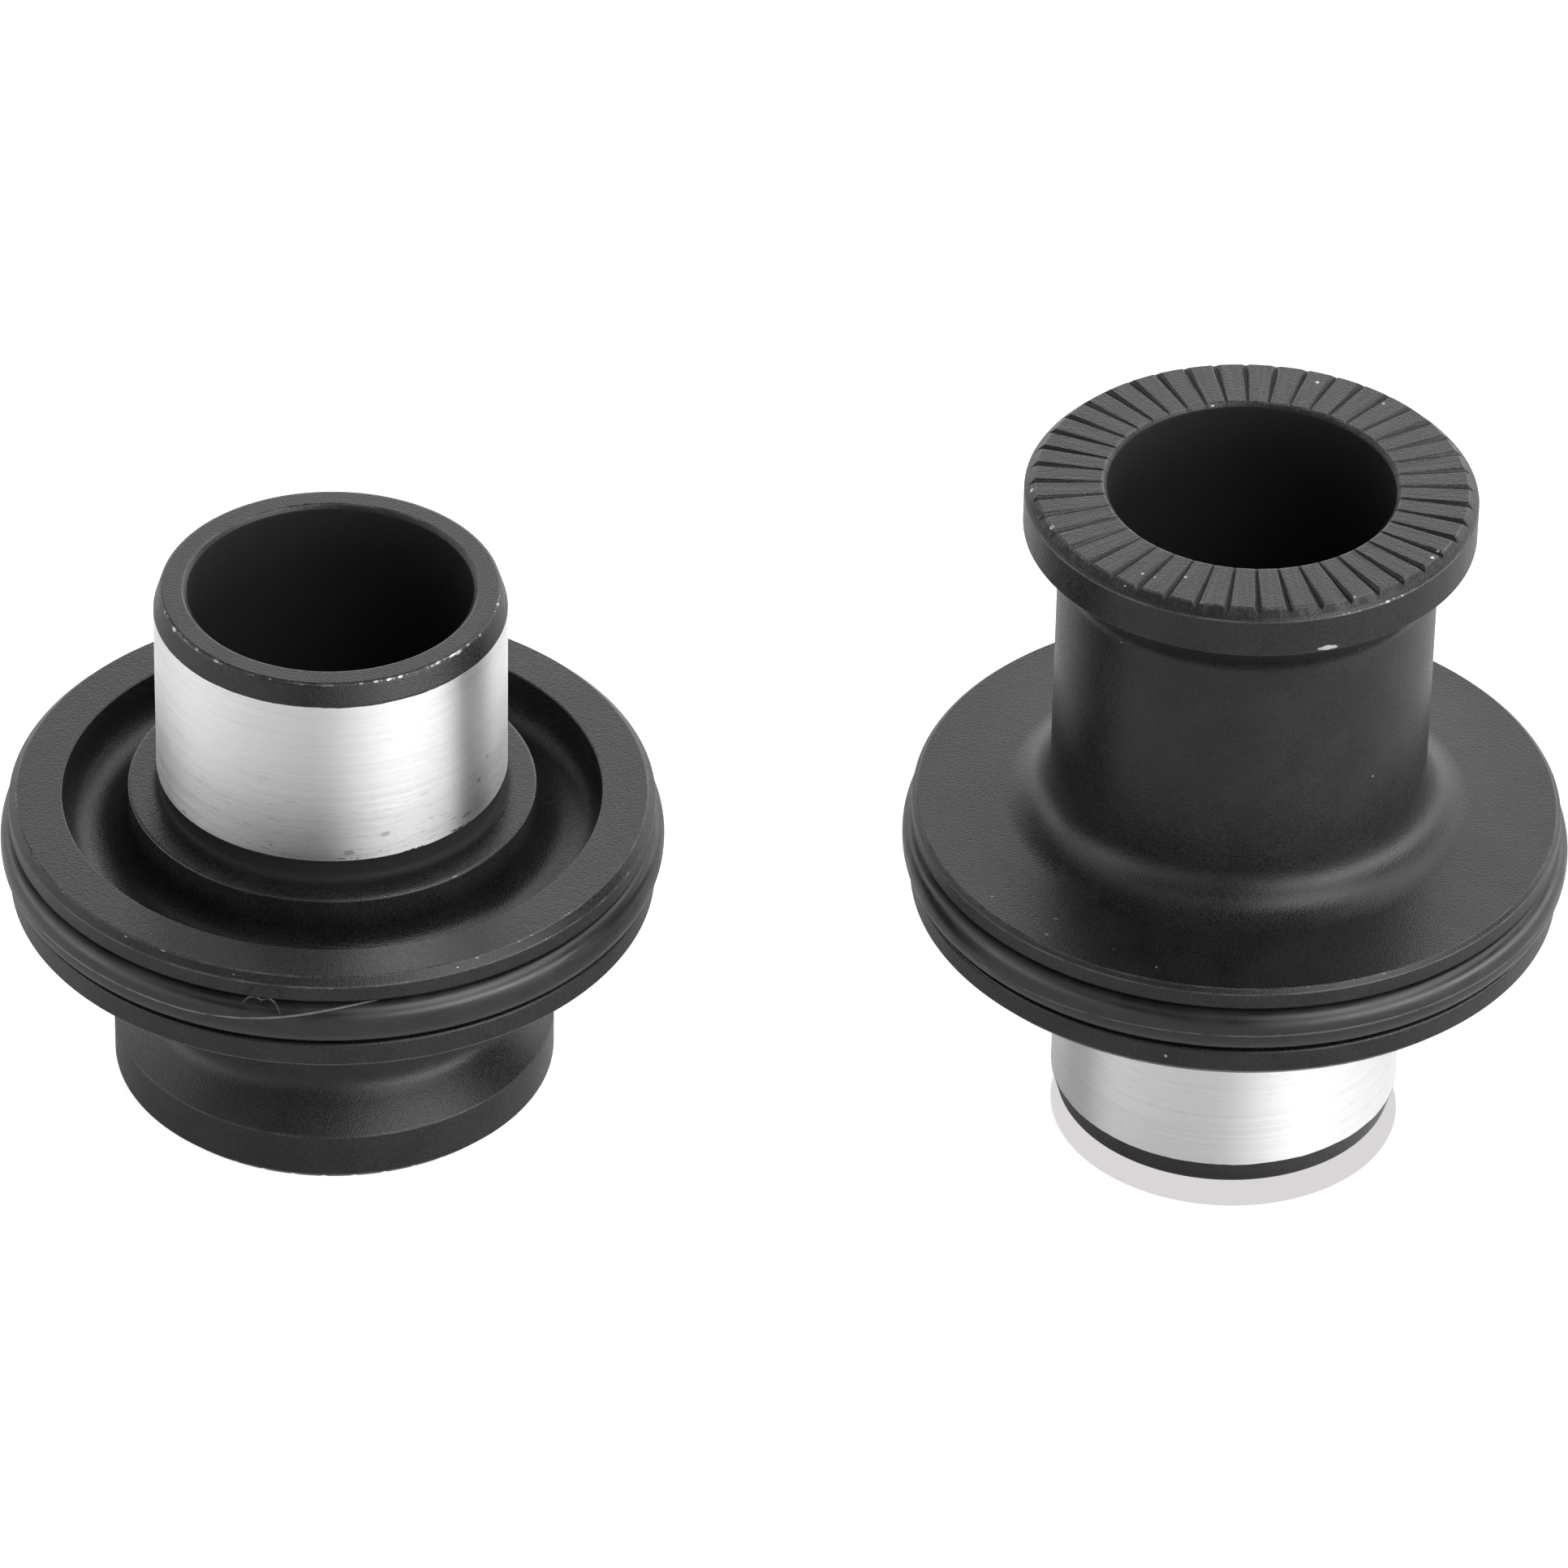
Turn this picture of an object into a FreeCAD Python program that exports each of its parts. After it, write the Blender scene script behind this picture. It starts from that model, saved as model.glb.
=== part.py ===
import FreeCAD, Part
import math
import os

# Two hub end caps for a thru-axle wheel, with the rubber rings in their grooves.
# Units are millimetres. +Z is up, the floor is Z = 0, +X runs from the short cap
# to the long cap, and the origin lies on the floor midway between the two axes.
# The short cap stands on its serrated face, the long cap on its spigot end.

# --- sizes both caps share: the wheel parts they fit -----------------------------
thru_axle_diameter = 12.0
axle_clearance = 0.1
bearing_bore = 15.0
bearing_seat_length = 8.0
hub_shell_bore = 28.0
flange_clearance = 0.3
ring_squeeze = 0.23

# --- spigot: the end that goes into the bearing ----------------------------------
lead_in_drop = 0.3
short_lead_in_length = 0.95
long_lead_in_length = 1.05
end_edge_break = 0.1
bore_chamfer = 0.2
relief_width = 1.1
relief_depth = 0.22
relief_root_overreach = 0.02
shoulder_width = 1.25
shoulder_rise = 0.45
shoulder_edge_break = 0.08

# --- flange with the bearing clearance recess and the ring groove ----------------
recess_rim_wall = 0.88
recess_straight_depth = 1.0
inboard_edge_chamfer = 0.34
outboard_edge_chamfer = 0.2
ring_section = 1.9
ring_seat_flat = 0.1
ring_groove_width = 2.2
groove_edge_break = 0.08
short_inboard_land = 1.1
short_outboard_land = 1.25
long_inboard_land = 1.35
long_outboard_land = 0.95

# --- neck and head: the end that meets the frame or fork --------------------------
head_diameter = 19.06
head_overhang = 1.53
cove_radius = 2.0
flare_fillet_radius = 1.5
head_chamfer = 0.45
short_head_rim_height = 1.95
long_head_rim_height = 1.65
short_stand_off = 9.4
long_stand_off = 16.15

# --- serrations on the head face ---------------------------------------------------
groove_count = 44
groove_depth_outside = 0.2
groove_depth_inside = 0.07
first_groove_angle = 0.4

# --- how the two caps stand --------------------------------------------------------
axis_spacing = 38.64
stand_stagger = 0.96

# --- sizes that follow from the ones above ------------------------------------------
bore_radius = (thru_axle_diameter + axle_clearance) / 2
bore_mouth_radius = bore_radius + bore_chamfer
seat_radius = bearing_bore / 2
lead_in_radius = seat_radius - lead_in_drop
relief_radius = seat_radius - relief_depth
relief_root_radius = relief_depth + relief_root_overreach
shoulder_radius = seat_radius + shoulder_width
flange_radius = (hub_shell_bore - flange_clearance) / 2
ring_outer_radius = hub_shell_bore / 2 + ring_squeeze
ring_section_radius = ring_section / 2
ring_centre_radius = ring_outer_radius - ring_section_radius
groove_floor_radius = ring_outer_radius - ring_section + ring_seat_flat
recess_radius = groove_floor_radius - recess_rim_wall
recess_round_radius = (recess_radius - shoulder_radius) / 2
head_radius = head_diameter / 2
neck_radius = head_radius - head_overhang


class Outline:
    """A closed outline in the XZ plane, drawn as lines and circular arcs."""

    def __init__(self, radius, height):
        self.first = FreeCAD.Vector(radius, 0, height)
        self.last = self.first
        self.edges = []

    def line(self, radius, height):
        point = FreeCAD.Vector(radius, 0, height)
        self.edges.append(Part.makeLine(self.last, point))
        self.last = point

    def arc(self, mid_radius, mid_height, radius, height):
        middle = FreeCAD.Vector(mid_radius, 0, mid_height)
        point = FreeCAD.Vector(radius, 0, height)
        self.edges.append(Part.Arc(self.last, middle, point).toShape())
        self.last = point

    def turned(self):
        self.edges.append(Part.makeLine(self.last, self.first))
        face = Part.Face(Part.Wire(self.edges))
        return face.revolve(FreeCAD.Vector(0, 0, 0), FreeCAD.Vector(0, 0, 1), 360)


def turned_cap(lead_in_length, inboard_land, outboard_land, stand_off, rim_height):
    """The plain turned cap, spigot end at Z = 0 and serrated face on top."""
    seat_start = lead_in_length
    seat_end = seat_start + bearing_seat_length
    shoulder = seat_end + relief_width
    inboard = shoulder + shoulder_rise
    groove_start = inboard + inboard_land
    groove_end = groove_start + ring_groove_width
    outboard = groove_end + outboard_land
    top = outboard + stand_off
    rim_top = top - head_chamfer
    rim_bottom = rim_top - rim_height
    flare_corner = rim_bottom - head_overhang
    half = math.sqrt(0.5)

    outline = Outline(bore_radius, bore_chamfer)
    outline.line(bore_mouth_radius, 0)
    outline.line(lead_in_radius - end_edge_break, 0)
    outline.line(lead_in_radius, end_edge_break)
    outline.line(seat_radius, seat_start)
    outline.line(seat_radius, seat_end)
    outline.line(relief_radius, seat_end)

    root = relief_root_radius
    outline.line(relief_radius, shoulder - root)
    root_middle_radius = relief_radius + root * (1 - half)
    root_middle_height = shoulder - root * (1 - half)
    outline.arc(root_middle_radius, root_middle_height, relief_radius + root, shoulder)
    outline.line(shoulder_radius - shoulder_edge_break, shoulder)
    outline.line(shoulder_radius, shoulder + shoulder_edge_break)

    recess_round_start = inboard + recess_straight_depth
    recess_middle_radius = shoulder_radius + recess_round_radius
    recess_bottom = recess_round_start + recess_round_radius
    outline.line(shoulder_radius, recess_round_start)
    outline.arc(recess_middle_radius, recess_bottom, recess_radius, recess_round_start)
    outline.line(recess_radius, inboard)

    outline.line(flange_radius - inboard_edge_chamfer, inboard)
    outline.line(flange_radius, inboard + inboard_edge_chamfer)
    outline.line(flange_radius, groove_start - groove_edge_break)
    outline.line(flange_radius - groove_edge_break, groove_start)
    outline.line(groove_floor_radius, groove_start)
    outline.line(groove_floor_radius, groove_end)
    outline.line(flange_radius - groove_edge_break, groove_end)
    outline.line(flange_radius, groove_end + groove_edge_break)
    outline.line(flange_radius, outboard - outboard_edge_chamfer)
    outline.line(flange_radius - outboard_edge_chamfer, outboard)

    cove = cove_radius
    outline.line(neck_radius + cove, outboard)
    cove_middle_radius = neck_radius + cove * (1 - half)
    cove_middle_height = outboard + cove * (1 - half)
    outline.arc(cove_middle_radius, cove_middle_height, neck_radius, outboard + cove)

    flare = flare_fillet_radius
    flare_tangent = flare * math.tan(math.radians(22.5))
    flare_end_radius = neck_radius + flare_tangent * half
    flare_end_height = flare_corner + flare_tangent * half
    flare_middle_radius = neck_radius + flare * (1 - math.cos(math.radians(22.5)))
    flare_middle_height = flare_corner - flare_tangent + flare * math.sin(math.radians(22.5))
    outline.line(neck_radius, flare_corner - flare_tangent)
    outline.arc(flare_middle_radius, flare_middle_height, flare_end_radius, flare_end_height)
    outline.line(head_radius, rim_bottom)
    outline.line(head_radius, rim_top)
    outline.line(head_radius - head_chamfer, top)
    outline.line(bore_mouth_radius, top)
    outline.line(bore_radius, top - bore_chamfer)
    return outline.turned(), top, (groove_start + groove_end) / 2


def groove_section(radius, depth, face_height):
    """A right-angled V at one radius, its open side standing above the face."""
    above = 0.3
    half_width = depth + above
    left = FreeCAD.Vector(radius, -half_width, face_height + above)
    right = FreeCAD.Vector(radius, half_width, face_height + above)
    root = FreeCAD.Vector(radius, 0, face_height - depth)
    return Part.makePolygon([left, root, right, left])


def serration_cutters(face_height):
    """One tapering V cutter for each groove of the serrated face."""
    slope = (groove_depth_outside - groove_depth_inside) / (head_radius - bore_mouth_radius)
    inner_radius = bore_radius - 0.5
    outer_radius = head_radius + 0.5
    inner_depth = groove_depth_inside - slope * (bore_mouth_radius - inner_radius)
    outer_depth = groove_depth_outside + slope * (outer_radius - head_radius)
    inner = groove_section(inner_radius, inner_depth, face_height)
    outer = groove_section(outer_radius, outer_depth, face_height)
    cutter = Part.makeLoft([inner, outer], True, True)
    axis_foot = FreeCAD.Vector(0, 0, 0)
    upward = FreeCAD.Vector(0, 0, 1)
    cutters = []
    for index in range(groove_count):
        copy = cutter.copy()
        copy.rotate(axis_foot, upward, first_groove_angle + index * 360.0 / groove_count)
        cutters.append(copy)
    return cutters


def rubber_ring(centre_height):
    """A round-section ring, flattened where it presses on the groove floor."""
    flat_half = math.sqrt(ring_section_radius ** 2 - (ring_centre_radius - groove_floor_radius) ** 2)
    outline = Outline(groove_floor_radius, centre_height - flat_half)
    outline.arc(ring_outer_radius, centre_height, groove_floor_radius, centre_height + flat_half)
    return outline.turned()


def write_step(node, shape):
    """Check one solid and write it under its node name."""
    if not shape.isValid() or len(shape.Solids) != 1:
        raise ValueError(node + " is not one valid solid")
    shape.Solids[0].exportStep(os.path.join("parts", node + ".step"))


os.makedirs("parts", exist_ok=True)

long_body, long_height, long_ring_height = turned_cap(
    long_lead_in_length, long_inboard_land, long_outboard_land, long_stand_off, long_head_rim_height
)
long_cap = long_body.cut(serration_cutters(long_height))
long_ring = rubber_ring(long_ring_height)

short_body, short_height, short_ring_height = turned_cap(
    short_lead_in_length, short_inboard_land, short_outboard_land, short_stand_off, short_head_rim_height
)
short_cap = short_body.cut(serration_cutters(short_height))
short_ring = rubber_ring(short_ring_height)

for shape in (short_cap, short_ring):
    shape.rotate(FreeCAD.Vector(0, 0, 0), FreeCAD.Vector(1, 0, 0), 180)
    shape.translate(FreeCAD.Vector(-axis_spacing / 2, stand_stagger / 2, short_height))

for shape in (long_cap, long_ring):
    shape.translate(FreeCAD.Vector(axis_spacing / 2, -stand_stagger / 2, 0))

write_step("short_end_cap", short_cap)
write_step("short_cap_o_ring", short_ring)
write_step("long_end_cap", long_cap)
write_step("long_cap_o_ring", long_ring)
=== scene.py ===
"""Looks of two thru-axle hub end caps with their rubber rings.

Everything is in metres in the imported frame: +Z up, the floor at Z = 0, +X from the
short cap to the long one. Finishes work in millimetres of each cap's own axes.
"""

import logging
import math
from dataclasses import dataclass, field
from enum import Enum
from typing import Any

import bpy
from mathutils import Matrix, Vector


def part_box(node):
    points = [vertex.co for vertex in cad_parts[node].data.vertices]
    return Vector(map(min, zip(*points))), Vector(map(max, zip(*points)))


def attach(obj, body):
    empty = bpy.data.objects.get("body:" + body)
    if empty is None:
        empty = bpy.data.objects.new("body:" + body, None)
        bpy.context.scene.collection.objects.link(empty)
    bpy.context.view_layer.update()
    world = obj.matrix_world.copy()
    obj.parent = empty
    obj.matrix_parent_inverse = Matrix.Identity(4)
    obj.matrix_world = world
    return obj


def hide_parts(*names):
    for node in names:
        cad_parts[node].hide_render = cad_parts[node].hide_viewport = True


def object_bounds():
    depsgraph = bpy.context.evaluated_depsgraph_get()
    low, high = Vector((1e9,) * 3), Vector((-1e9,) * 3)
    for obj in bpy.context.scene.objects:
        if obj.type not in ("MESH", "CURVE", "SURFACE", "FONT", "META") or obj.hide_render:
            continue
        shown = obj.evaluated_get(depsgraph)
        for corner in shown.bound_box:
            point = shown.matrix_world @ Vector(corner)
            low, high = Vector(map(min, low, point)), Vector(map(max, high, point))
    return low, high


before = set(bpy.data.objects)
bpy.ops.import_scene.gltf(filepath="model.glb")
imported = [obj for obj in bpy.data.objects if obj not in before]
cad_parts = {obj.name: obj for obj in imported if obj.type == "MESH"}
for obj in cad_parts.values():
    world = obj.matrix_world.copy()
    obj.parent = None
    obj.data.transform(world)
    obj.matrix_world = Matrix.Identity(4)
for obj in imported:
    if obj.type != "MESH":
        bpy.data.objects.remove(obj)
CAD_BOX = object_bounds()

MM = 0.001
LOG = logging.getLogger("hub_end_caps")

Colour = tuple[float, float, float, float]
Socket = bpy.types.NodeSocket


class Standing(Enum):
    """Which end of a cap is on the floor."""

    SPIGOT_UP = "spigot up"
    SPIGOT_DOWN = "spigot down"


# Node boards


class Value:
    """A number socket that adds Math nodes when it is used in an expression."""

    def __init__(self, board: "Board", socket: Socket) -> None:
        """Keep the board and the socket that holds the number."""
        self.board = board
        self.socket = socket

    def math(self, operation: str, *operands: Any) -> "Value":
        """Return the result of a Math node on values or numbers, in the node's order."""
        node = self.board.add("ShaderNodeMath", dict(enumerate(operands)), operation=operation)
        return Value(self.board, node.outputs[0])

    def __add__(self, other: Any) -> "Value":
        """Return self + other."""
        return self.math("ADD", self, other)

    def __radd__(self, other: Any) -> "Value":
        """Return other + self."""
        return self.math("ADD", other, self)

    def __sub__(self, other: Any) -> "Value":
        """Return self - other."""
        return self.math("SUBTRACT", self, other)

    def __rsub__(self, other: Any) -> "Value":
        """Return other - self."""
        return self.math("SUBTRACT", other, self)

    def __mul__(self, other: Any) -> "Value":
        """Return self * other."""
        return self.math("MULTIPLY", self, other)

    def __rmul__(self, other: Any) -> "Value":
        """Return other * self."""
        return self.math("MULTIPLY", other, self)

    def __truediv__(self, other: Any) -> "Value":
        """Return self / other."""
        return self.math("DIVIDE", self, other)

    def __rtruediv__(self, other: Any) -> "Value":
        """Return other / self."""
        return self.math("DIVIDE", other, self)

    def __pow__(self, other: Any) -> "Value":
        """Return self raised to other."""
        return self.math("POWER", self, other)

    def size(self) -> "Value":
        """Return the number without its sign."""
        return self.math("ABSOLUTE", self)

    def cosine(self) -> "Value":
        """Return the cosine of an angle in radians."""
        return self.math("COSINE", self)

    def sine(self) -> "Value":
        """Return the sine of an angle in radians."""
        return self.math("SINE", self)

    def most(self, other: Any) -> "Value":
        """Return the larger of the two."""
        return self.math("MAXIMUM", self, other)

    def ramp(self, start: float, end: float, low: float = 0.0, high: float = 1.0) -> "Value":
        """Ease from low to high as the number goes from start to end.

        Args:
            start: The number that gives low.
            end: The number that gives high.
            low: Result at and before start.
            high: Result at and past end.

        Returns:
            The eased number.
        """
        inputs = {"Value": self, "From Min": start, "From Max": end, "To Min": low, "To Max": high}
        node = self.board.add("ShaderNodeMapRange", inputs, interpolation_type="SMOOTHSTEP")
        return Value(self.board, node.outputs["Result"])


class Board:
    """Adds and links the nodes of one shader or geometry tree."""

    def __init__(self, tree: bpy.types.NodeTree) -> None:
        """Keep the tree that the nodes go in."""
        self.tree = tree

    def feed(self, socket: Socket, value: Any) -> None:
        """Link a socket, or set it to a plain value.

        Args:
            socket: The input socket.
            value: A Value, an output socket, or a plain value.
        """
        if isinstance(value, Value):
            value = value.socket
        if isinstance(value, Socket):
            self.tree.links.new(value, socket)
        else:
            socket.default_value = value

    def add(self, kind: str, inputs: dict | None = None, **settings: Any) -> bpy.types.Node:
        """Add a node of any kind.

        Args:
            kind: The node's type name.
            inputs: Values or links, by socket name or number.
            **settings: Properties of the node, set before its sockets.

        Returns:
            The new node.
        """
        node = self.tree.nodes.new(kind)
        for name, value in settings.items():
            if name == "stops":
                self.set_stops(node.color_ramp, value)
            else:
                setattr(node, name, value)
        for key, value in (inputs or {}).items():
            self.feed(node.inputs[key], value)
        return node

    def set_stops(self, ramp: bpy.types.ColorRamp, stops: list[tuple[float, float]]) -> None:
        """Set a ramp's stops.

        Args:
            ramp: The ramp.
            stops: Place and grey level of each stop, in order.
        """
        while len(ramp.elements) < len(stops):
            ramp.elements.new(1.0)
        for element, (place, level) in zip(ramp.elements, stops):
            element.position = place
            element.color = (level, level, level, 1.0)

    def number(self, socket: Socket) -> Value:
        """Wrap a socket so that it works in expressions."""
        return Value(self, socket)

    def split(self, place: Socket) -> list[Value]:
        """Take a vector apart into its three numbers."""
        parts = self.add("ShaderNodeSeparateXYZ", {0: place})
        return [Value(self, output) for output in parts.outputs]

    def noise(self, place: Socket, scale: float, detail: float, roughness: float) -> Value:
        """Sample a noise from 0 to 1, by its lumps per unit and its finer layers."""
        inputs = {"Vector": place, "Scale": scale, "Detail": detail, "Roughness": roughness}
        return self.number(self.add("ShaderNodeTexNoise", inputs).outputs[0])

    def specks(self, place: Socket, spacing: float, size: float, share: float) -> Value:
        """Scatter small round specks.

        Args:
            place: The vector they are scattered over.
            spacing: Distance between possible specks.
            size: Radius of a speck.
            share: How many of the possible specks are there, from 0 to 1.

        Returns:
            1 on a speck and 0 elsewhere.
        """
        cells = self.add("ShaderNodeTexVoronoi", {"Vector": place, "Scale": 1 / spacing})
        reach = size / spacing
        spot = self.number(cells.outputs["Distance"]).ramp(reach * 0.5, reach, 1.0, 0.0)
        draw = self.add("ShaderNodeSeparateColor", {0: cells.outputs["Color"]})
        return spot * self.number(draw.outputs[0]).ramp(1 - share, 1 - share * 0.8)

    def vector(self, x: Any, y: Any, z: Any) -> Socket:
        """Join three numbers into a vector."""
        return self.add("ShaderNodeCombineXYZ", {0: x, 1: y, 2: z}).outputs[0]

    def blend(self, share: Any, first: Any, second: Any) -> Socket:
        """Mix two colours, the second one by its share from 0 to 1."""
        inputs = {0: share, 6: first, 7: second}
        return self.add("ShaderNodeMix", inputs, data_type="RGBA").outputs[2]

    def bump(self, height: Value, depth: float, strength: float, **under: Socket) -> Socket:
        """Turn a height from 0 to 1 into a normal, with its depth in millimetres."""
        inputs = {"Height": height, "Distance": depth * MM, "Strength": strength, **under}
        return self.add("ShaderNodeBump", inputs).outputs[0]

    def principled(self, colour: Any, **inputs: Any) -> Socket:
        """Add a Principled shader, its other sockets by name with _ for a space."""
        named = {name.replace("_", " "): value for name, value in inputs.items()}
        return self.add("ShaderNodeBsdfPrincipled", {"Base Color": colour, **named}).outputs[0]

    def mix(self, share: Value, first: Socket, second: Socket) -> Socket:
        """Mix two shaders, the second one by its share from 0 to 1."""
        return self.add("ShaderNodeMixShader", {0: share, 1: first, 2: second}).outputs[0]


def shader_board(name: str) -> tuple[bpy.types.Material, Board]:
    """Start an empty material.

    Args:
        name: The material's name.

    Returns:
        The material and its node board.
    """
    material = bpy.data.materials.new(name)
    material.use_nodes = True
    material.node_tree.nodes.clear()
    return material, Board(material.node_tree)


@dataclass(frozen=True)
class CapAxes:
    """Where a cap's own axes are: its spigot end at height 0, its head above."""

    centre_x: float
    centre_y: float
    end_height: float
    standing: Standing

    def matrix(self) -> Matrix:
        """Place the cap's own axes in the frame.

        Returns:
            The move, in metres.
        """
        place = Matrix.Translation((self.centre_x, self.centre_y, self.end_height))
        if self.standing is Standing.SPIGOT_UP:
            return place @ Matrix.Rotation(math.pi, 4, "X")
        return place

    def spot(self, board: Board) -> "Spot":
        """Read Object coordinates in the cap's own axes.

        Args:
            board: The material's node board.

        Returns:
            The surface point in millimetres.
        """
        back = self.matrix().inverted()
        inputs = {
            "Vector": board.add("ShaderNodeTexCoord").outputs["Object"],
            "Location": tuple(back.translation / MM),
            "Rotation": tuple(back.to_euler()),
            "Scale": (1 / MM, 1 / MM, 1 / MM),
        }
        place = board.add("ShaderNodeMapping", inputs, vector_type="POINT").outputs[0]
        x, y, z = board.split(place)
        radius = (x * x + y * y) ** 0.5
        return Spot(board, place, z, radius, y.math("ARCTAN2", y, x), x / radius, y / radius)


@dataclass(frozen=True)
class Spot:
    """A surface point in a cap's own axes, in millimetres and radians."""

    board: Board
    place: Socket
    z: Value
    radius: Value
    angle: Value
    east: Value
    north: Value

    def round_about(self, lumps: float, rest: Any) -> Socket:
        """Return a seamless vector round the axis, with so many lumps per radian."""
        return self.board.vector(self.east * lumps, self.north * lumps, rest)

    def off_edge(self, radius: float, height: float) -> Value:
        """Return the distance from a turned edge, in the section through the axis."""
        return (self.radius - radius).size().most((self.z - height).size())

    def facing(self, azimuth: float, spread: float, fade: float = 12.0) -> Value:
        """Return 1 within the spread of an azimuth and fade past it, all in degrees."""
        ends = (math.cos(math.radians(min(180.0, part))) for part in (spread + fade, spread))
        return (self.angle - math.radians(azimuth)).cosine().ramp(*ends)


# Finishes


@dataclass(frozen=True)
class Nick:
    """A small mark at one place of a cap, in its own axes, in degrees and millimetres."""

    azimuth: float
    radius: float
    height: float
    length: float = 0.4
    width: float = 0.12
    brightness: float = 0.45


@dataclass(frozen=True)
class WornEdge:
    """A turned edge where the black is worn thin, lighter grey partly from wear and partly as a painted
    highlight line, with bare chips in a part of its turn.
    """

    radius: float
    height: float
    rubbed: float = 0.5
    width: float = 0.07
    chips: float = 0.0
    azimuth: float = 0.0
    spread: float = 180.0


@dataclass(frozen=True)
class AnodisedCapFinish:
    """Satin black anodising over a blasted cap, with its bearing seat turned bright."""

    cap: "EndCap"
    black: Colour = (0.0080, 0.0076, 0.0072, 1.0)
    pale_black: Colour = (0.0178, 0.0171, 0.0162, 1.0)
    rubbed_black: Colour = (0.075, 0.073, 0.070, 1.0)
    bore_black: Colour = (0.0200, 0.0182, 0.0188, 1.0)
    scored_pale: Colour = (0.030, 0.029, 0.028, 1.0)
    cut_black: Colour = (0.0030, 0.0030, 0.0030, 1.0)
    lint: Colour = (0.46, 0.45, 0.42, 1.0)
    bare: Colour = (0.95, 0.95, 0.945, 1.0)
    dull_bare: Colour = (0.85, 0.85, 0.85, 1.0)
    pit: Colour = (0.25, 0.25, 0.26, 1.0)
    grain_lumps: float = 11.0
    cloud_lumps: float = 0.4
    chip_lumps: float = 4.5
    patch_lumps: float = 0.7
    grain_depth: float = 0.017
    tool_depth: float = 0.006

    def material(self) -> bpy.types.Material:
        """Build the finish.

        Returns:
            The material for the whole cap.
        """
        material, board = shader_board(self.cap.node + "_anodised")
        spot = self.cap.axes().spot(board)
        grain = board.noise(spot.place, self.grain_lumps, 2.0, 0.55)
        cloud = board.noise(spot.place, self.cloud_lumps, 3.0, 0.6)
        chips = board.noise(spot.place, self.chip_lumps, 3.0, 0.75)
        patches = board.noise(spot.place, self.patch_lumps, 1.0, 0.5).ramp(0.38, 0.62)

        bare_share = self.seat_mask(spot).most(self.chip_mask(spot, chips, patches))
        satin = self.satin(spot, grain, cloud, patches)
        surface = board.mix(bare_share, satin, self.turned(spot))
        board.add("ShaderNodeOutputMaterial", {"Surface": surface})
        return material

    def satin(self, spot: Spot, grain: Value, cloud: Value, patches: Value) -> Socket:
        """Blasted and anodised black, with painted shade in the groove roots and on the head chamfer's
        front, and a painted highlight line along worn edges.

        Args:
            spot: The surface point.
            grain: Fine blasted grain.
            cloud: Slow change of tone.
            patches: Where edge wear and the painted edge highlight are stronger.

        Returns:
            The shader.
        """
        board, cap = spot.board, self.cap
        tone = (cloud * 0.4 + grain * 0.6).ramp(0.38, 0.62)
        colour = board.blend(tone, self.black, self.pale_black)
        in_bore = spot.radius.ramp(cap.bore_radius + 0.02, cap.bore_radius + 0.06, 1.0, 0.0)

        striae = board.noise(spot.round_about(62.0, spot.radius * 0.35), 1.0, 3.0, 0.65)
        on_face = (spot.z - cap.top).ramp(-0.32, -0.26)
        chamfer_start = cap.head_radius - cap.head_chamfer
        on_chamfer = on_face * spot.radius.ramp(chamfer_start, chamfer_start + 0.05)
        pitch = cap.groove_count / (2 * math.pi)
        step = (spot.angle - math.radians(cap.first_groove)) * pitch + 0.5
        off_root = (step.math("FRACT", step) - 0.5).size()
        # Painted shade: the groove roots on the serrated face turn near black, and the tool striae
        # darken most beside the grooves.
        groove_root_shade = off_root.ramp(0.02, 0.09, 1.0, 0.0) * on_face * cloud.ramp(0.35, 0.65, 0.35, 0.9)
        scored = off_root.ramp(0.10, 0.30, 1.0, 0.15) * striae.ramp(0.52, 0.60) * on_face
        scored_and_shade = groove_root_shade.most(scored * 0.75)
        # The scrape noise bumps the head chamfer all round; its dark colour is painted shade, kept to
        # the chamfer's side about 255 degrees.
        scrape = board.noise(spot.round_about(14.0, spot.z * 1.5), 1.0, 3.0, 0.7)
        scored_and_shade = scored_and_shade.most(on_chamfer * scrape.ramp(0.44, 0.56) * spot.facing(255.0, 60.0) * 0.8)
        colour = board.blend(striae.ramp(0.50, 0.38) * on_face * 0.8, colour, self.scored_pale)
        colour = board.blend(scored_and_shade, colour, self.cut_black)

        # Lighter grey along turned edges: partly worn anodising and partly a painted highlight line.
        rubbed = scored_and_shade * 0.0
        for edge in cap.edges:
            near = spot.off_edge(edge.radius, edge.height).ramp(edge.width * 0.3, edge.width, 1.0, 0.0)
            rubbed = rubbed.most(near * edge.rubbed)
        rubbed = rubbed * (patches * 0.6 + grain * 0.8)
        colour = board.blend(rubbed, colour, self.rubbed_black)
        fine_dust = board.specks(spot.place, 0.9, 0.055, 0.06)
        dust = fine_dust.most(board.specks(spot.place, 2.6, 0.085, 0.10))
        outside = spot.radius.ramp(cap.bore_radius + 0.1, cap.bore_radius + 0.2)
        colour = board.blend(dust * outside * 0.75, colour, self.lint)

        height = grain + striae * on_face * 0.5 - scrape * on_chamfer * 1.3
        normal = board.bump(height, self.grain_depth, 0.9)
        past_seat = (spot.z - cap.seat_end).ramp(-0.02, 0.02)
        at_root = spot.radius.ramp(cap.seat_radius - 0.05, cap.seat_radius + 0.3, 1.0, 0.0)
        in_relief = past_seat * at_root * (spot.z - cap.shoulder).ramp(0.0, 0.1, 1.0, 0.0)
        rough = grain.ramp(0.3, 0.7, 0.25, 0.39) + scored_and_shade * 0.25
        glossy = board.principled(colour, Roughness=rough, IOR=1.42, Normal=normal)
        matt = board.principled(self.bore_black, Roughness=0.7, IOR=1.12)
        return board.mix(in_bore.most(in_relief * 0.9), glossy, matt)

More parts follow.
